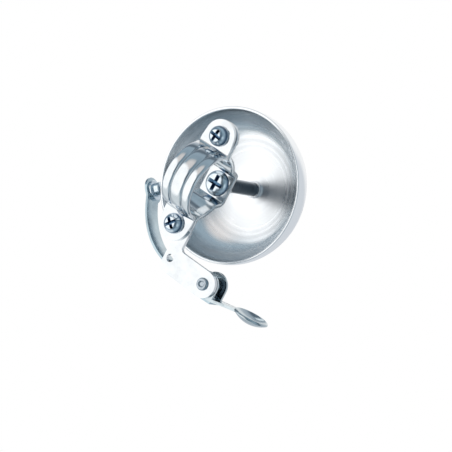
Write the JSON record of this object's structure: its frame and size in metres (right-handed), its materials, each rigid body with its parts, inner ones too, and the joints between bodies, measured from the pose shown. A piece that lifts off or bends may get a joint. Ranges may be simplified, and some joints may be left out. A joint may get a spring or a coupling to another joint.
{
  "type": "bicycle bell",
  "caption": "Handlebar bell: a shallow metal dome on a centre screw over a two-piece bar clamp, struck by a hammer on a sprung thumb lever.",
  "frame": {"origin": "on the handlebar's axis, midway along the clamp", "axes": "+X along the handlebar towards the hammer's side, +Z to the crown of the dome, -Y to the thumb lever"},
  "size_m": [0.0766, 0.0626, 0.0589],
  "materials": {
    "dome_metal": "polished plated steel",
    "plated_sheet": "bright plated sheet",
    "bright_screw": "bright plated screw",
    "plated_nut": "plated, slightly dull",
    "rivet_steel": "plated rivet",
    "spring_wire": "drawn wire",
    "spring_strip": "blued spring strip, bright plated",
    "hammer_steel": "turned and plated"
  },
  "bodies": {
    "frame": {"bell_dome": "dome_metal", "centre_post": "bright_screw", "post_nut": "plated_nut", "dome_washer": "plated_nut", "crown_washer": "plated_nut", "crown_nut": "plated_nut", "clamp_saddle": "plated_sheet", "clamp_strap": "plated_sheet", "clamp_screw_rear": "bright_screw", "clamp_screw_front": "bright_screw", "clamp_washer_rear": "plated_nut", "clamp_washer_front": "plated_nut", "clamp_nut_rear": "plated_nut", "clamp_nut_front": "plated_nut", "lever_bracket": "plated_sheet", "pivot_rivet": "rivet_steel", "pivot_bush": "rivet_steel", "pivot_shim": "rivet_steel", "pivot_washer": "plated_nut", "torsion_spring": "spring_wire"},
    "lever": {"thumb_lever": "plated_sheet", "hammer_arm": "spring_strip", "arm_rivets": "rivet_steel", "hammer": "hammer_steel"}
  },
  "joints": [
    {"name": "lever_swing", "type": "hinge", "parent": "frame", "child": "lever", "pos_m": [-0.02, -0.0295, 0.00565], "axis": [0, 0, 1], "range_deg": [-18, 0], "stiffness_Nm_per_rad": 0.05, "springref_deg": 17.19, "deforming": ["torsion_spring"]}
  ]
}
